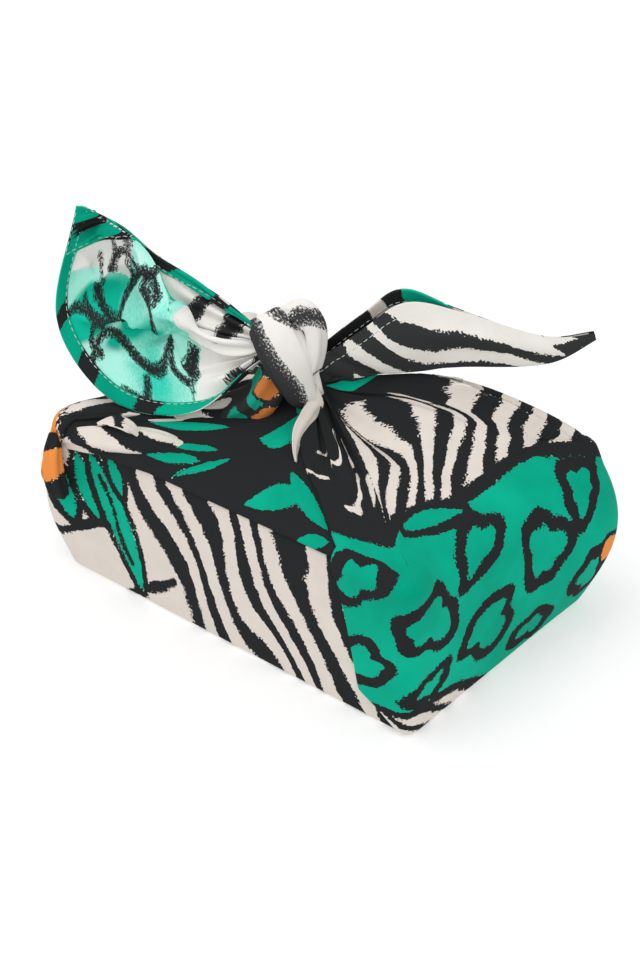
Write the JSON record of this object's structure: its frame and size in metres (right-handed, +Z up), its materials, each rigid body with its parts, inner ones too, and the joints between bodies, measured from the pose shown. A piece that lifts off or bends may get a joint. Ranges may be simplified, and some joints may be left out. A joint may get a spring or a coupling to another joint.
{
  "type": "furoshiki wrap",
  "caption": "Square of printed cotton wrapped round a lunch box sized parcel and tied above the lid, with a cupped ear and a folded tail.",
  "frame": {"origin": "middle of the flat base, on the surface the parcel stands on", "axes": "+Z up, +X along the long side towards the end under the folded tail, -Y out of the long side with the folded flap edge"},
  "size_m": [0.2479, 0.1734, 0.183],
  "materials": {
    "printed_cotton": "matt plain-weave cotton, printed on one side in green, near-black and cream with a little orange"
  },
  "bodies": {
    "root": {"wrap": "printed_cotton"}
  },
  "joints": []
}
